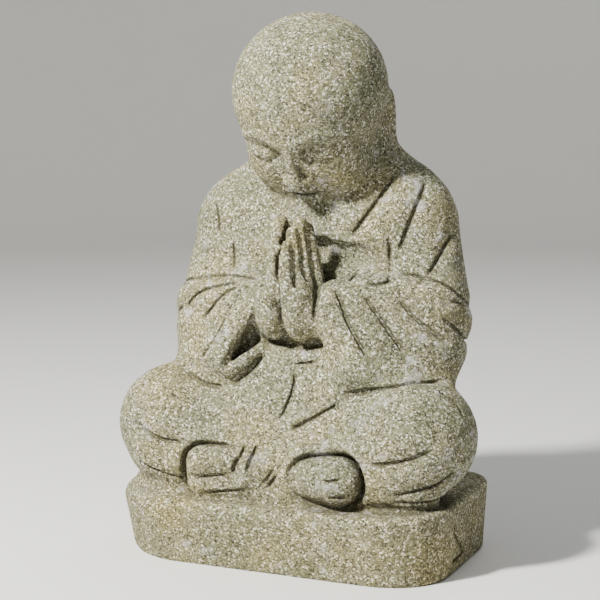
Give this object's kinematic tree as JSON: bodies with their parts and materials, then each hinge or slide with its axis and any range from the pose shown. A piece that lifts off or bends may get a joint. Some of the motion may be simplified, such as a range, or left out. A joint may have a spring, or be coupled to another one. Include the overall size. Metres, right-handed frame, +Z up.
{
  "type": "seated monk statue",
  "caption": "Stone monk seated cross-legged in prayer, shaved head bowed and palms pressed together, carved together with its round-cornered slab.",
  "frame": {"origin": "The middle of the slab, on its flat underside.", "axes": "+Z is up. The statue faces -Y. +X is to the right of someone who stands in front and looks at it."},
  "size_m": [0.5238, 0.3202, 0.7512],
  "materials": {
    "stone": "coarse speckled greenish-grey volcanic stone, unpolished and weathered"
  },
  "bodies": {
    "root": {"monk_statue": "stone"}
  },
  "joints": []
}
